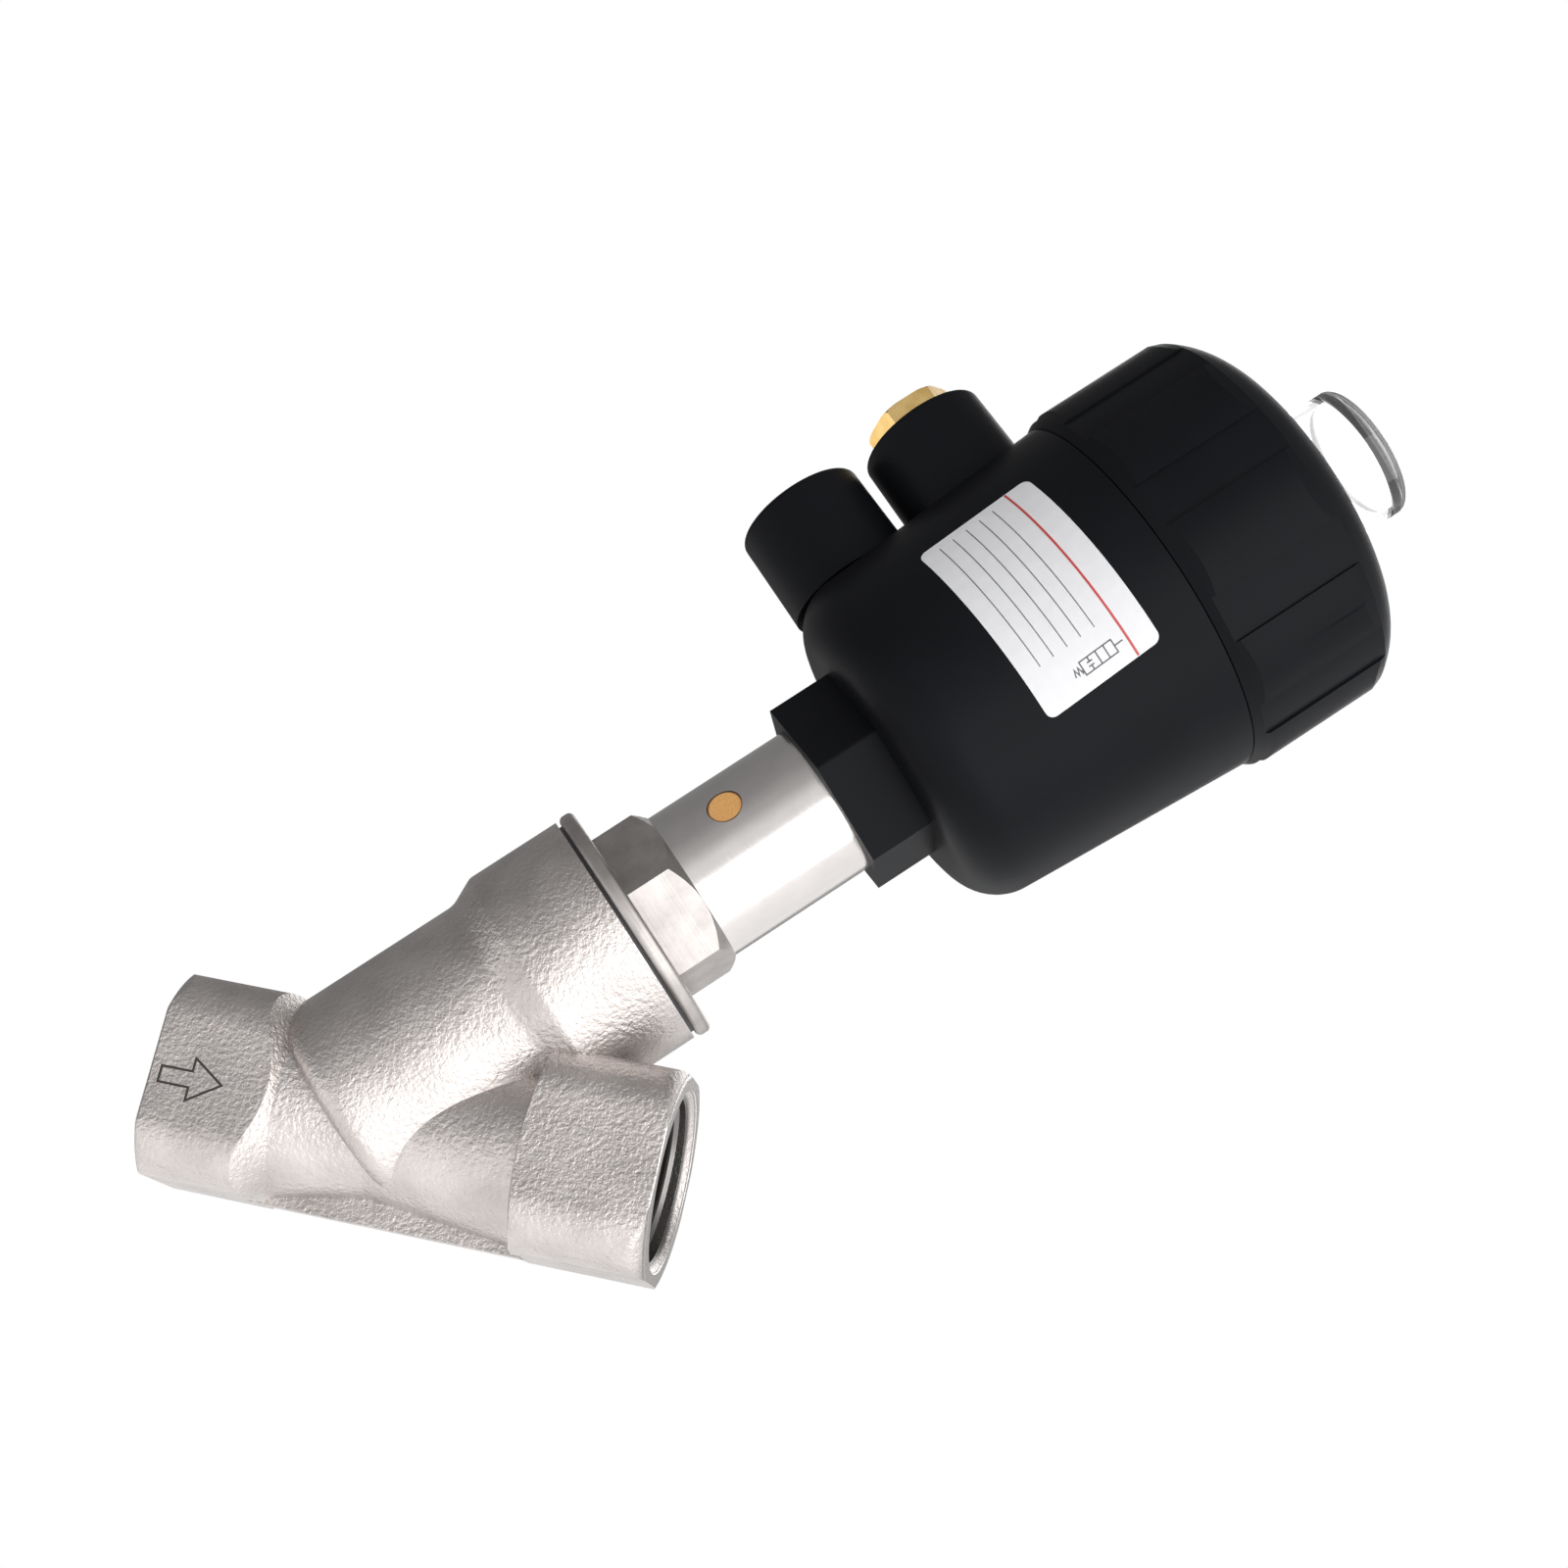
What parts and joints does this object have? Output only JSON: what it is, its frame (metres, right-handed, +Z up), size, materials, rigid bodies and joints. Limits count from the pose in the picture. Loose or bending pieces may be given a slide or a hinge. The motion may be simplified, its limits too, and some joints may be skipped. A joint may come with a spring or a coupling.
{
  "type": "angle seat valve",
  "caption": "Y-pattern angle seat valve with threaded ports, inclined soft-sealed plug, steel neck tube and a piston actuator with lobed cap and sight window.",
  "frame": {"origin": "on the pipe axis where the inlet port's thread begins, just inside the mouth's chamfer", "axes": "+X is the flow direction along the pipe axis, out of the outlet port; +Z is up; the stem axis leans 45 degrees from +Z towards +X in the plane Y = 0"},
  "size_m": [0.1633, 0.0622, 0.1539],
  "materials": {
    "cast_stainless": "cast",
    "machined_stainless": "satin",
    "polished_stainless": "polished",
    "graphite": "matte",
    "sintered_bronze": "sintered",
    "white_seal": "satin",
    "bearing_plastic": "satin",
    "spring_steel": "satin",
    "machined_brass": "turned",
    "black_seal": "satin",
    "black_plastic": "moulded",
    "clear_plastic": "clear",
    "zinc_plate": "plated",
    "piston_alloy": "turned",
    "indicator_plastic": "gloss"
  },
  "bodies": {
    "valve": {"valve_body": "cast_stainless", "body_gasket": "graphite", "bonnet": "machined_stainless", "stem_wiper": "white_seal", "stem_guide_bush": "bearing_plastic", "packing_spring": "spring_steel", "packing_support_ring": "machined_stainless", "packing_rings": "white_seal", "packing_gland": "machined_stainless", "neck_tube": "machined_stainless", "vent_disc": "sintered_bronze", "thrust_washer": "bearing_plastic", "tube_clip": "spring_steel", "rod_guide": "machined_brass", "rod_guide_ring": "black_seal", "rod_seal": "black_seal"},
    "actuator": {"actuator_housing": "black_plastic", "neck_ring": "black_seal", "cap_ring": "black_seal", "pilot_port_insert": "machined_brass", "exhaust_port_insert": "machined_brass", "breather_plug": "machined_brass", "actuator_cap": "black_plastic", "indicator_window": "clear_plastic", "window_ring": "black_seal", "spring_seat": "zinc_plate", "spring_outer": "spring_steel", "spring_inner": "spring_steel"},
    "stem_assembly": {"stem": "polished_stainless", "plug_holder": "machined_stainless", "plug_pin": "machined_stainless", "seat_seal": "white_seal", "seal_washer": "machined_stainless", "plug_nut": "machined_stainless", "piston": "piston_alloy", "piston_lip_seal": "black_seal", "piston_guide_ring": "bearing_plastic", "piston_washer": "zinc_plate", "piston_nut": "zinc_plate", "position_indicator": "indicator_plastic"}
  },
  "joints": [
    {"name": "actuator_swivel", "type": "hinge", "parent": "valve", "child": "actuator", "pos_m": [0.0232, 0, 0], "axis": [0.7071, 0, 0.7071], "continuous": true},
    {"name": "valve_lift", "type": "slide", "parent": "valve", "child": "stem_assembly", "axis": [0.7071, 0, 0.7071], "range_m": [0, 0.011], "stiffness_N_per_m": 800, "springref_m": -0.01, "deforming": ["spring_outer", "spring_inner"]}
  ]
}
